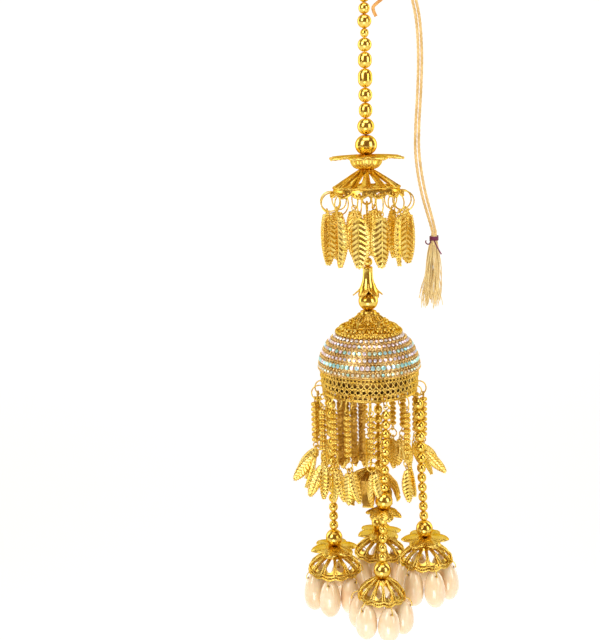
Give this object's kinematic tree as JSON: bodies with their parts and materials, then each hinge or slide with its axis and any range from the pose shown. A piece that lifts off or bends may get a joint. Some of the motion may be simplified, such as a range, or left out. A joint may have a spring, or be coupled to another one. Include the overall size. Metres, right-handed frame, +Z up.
{
  "type": "kalire bridal ornament",
  "caption": "Hanging bridal wrist ornament: beaded strand, ribbed umbrella with leaves, stone-set dome, bead bars and ivory drop tassels on a tied cord.",
  "frame": {"origin": "top of the tie cord's arch on the axis of the bead strand, where the ornament hangs", "axes": "+Z up, -Y towards the viewer's side of the picture, +X to the right where the free cord end hangs"},
  "size_m": [0.0758, 0.0729, 0.3244],
  "materials": {
    "gold_metal": "bright gold plating",
    "stone_setting": "gold plating set with iridescent clear stones",
    "ivory_drop": "glossy ivory",
    "tie_cord": "silky pale gold twisted thread",
    "knot_cord": "orange gold thread",
    "maroon_thread": "matt maroon thread"
  },
  "bodies": {
    "hanger": {"cord_near": "tie_cord", "cord_far": "tie_cord", "binding_knot": "knot_cord", "tie_thread": "maroon_thread", "cord_fringe": "tie_cord", "core_wire": "gold_metal", "strand_beads": "gold_metal", "neck_bead": "gold_metal", "leaf_flower": "gold_metal", "fluted_cup": "gold_metal", "umbrella": "gold_metal", "leaf_rings": "gold_metal", "leaf_1": "gold_metal", "leaf_2": "gold_metal", "leaf_3": "gold_metal", "leaf_4": "gold_metal", "leaf_5": "gold_metal", "leaf_6": "gold_metal", "leaf_7": "gold_metal", "leaf_8": "gold_metal", "leaf_9": "gold_metal", "leaf_10": "gold_metal", "leaf_11": "gold_metal", "leaf_12": "gold_metal"},
    "link": {"coil_link": "gold_metal"},
    "drop": {"drop_pin": "gold_metal", "centre_bead": "gold_metal", "tulip_cap": "gold_metal", "drop_ball": "gold_metal", "dome_cap": "gold_metal", "stone_dome": "stone_setting", "pierced_band": "gold_metal", "inner_strings": "gold_metal", "inner_flower": "gold_metal", "bar_rings": "gold_metal", "bars": "gold_metal", "low_rings": "gold_metal", "small_leaves": "gold_metal", "string_rings": "gold_metal", "string_wires": "gold_metal", "string_balls": "gold_metal", "front_beads": "gold_metal", "front_cone": "gold_metal", "front_drops": "ivory_drop", "right_beads": "gold_metal", "right_cone": "gold_metal", "right_drops": "ivory_drop", "back_beads": "gold_metal", "back_cone": "gold_metal", "back_drops": "ivory_drop", "left_beads": "gold_metal", "left_cone": "gold_metal", "left_drops": "ivory_drop", "front_leaf_cap": "gold_metal", "right_leaf_cap": "gold_metal", "back_leaf_cap": "gold_metal", "left_leaf_cap": "gold_metal", "drop_bails": "gold_metal"}
  },
  "joints": [
    {"name": "link_swing", "type": "hinge", "parent": "hanger", "child": "link", "pos_m": [0, 0, -0.13108], "axis": [1, 0, 0], "range_deg": [-20, 20]},
    {"name": "drop_swing", "type": "hinge", "parent": "link", "child": "drop", "pos_m": [0, 0, -0.15098], "axis": [0, 1, 0], "range_deg": [-20, 20]}
  ]
}
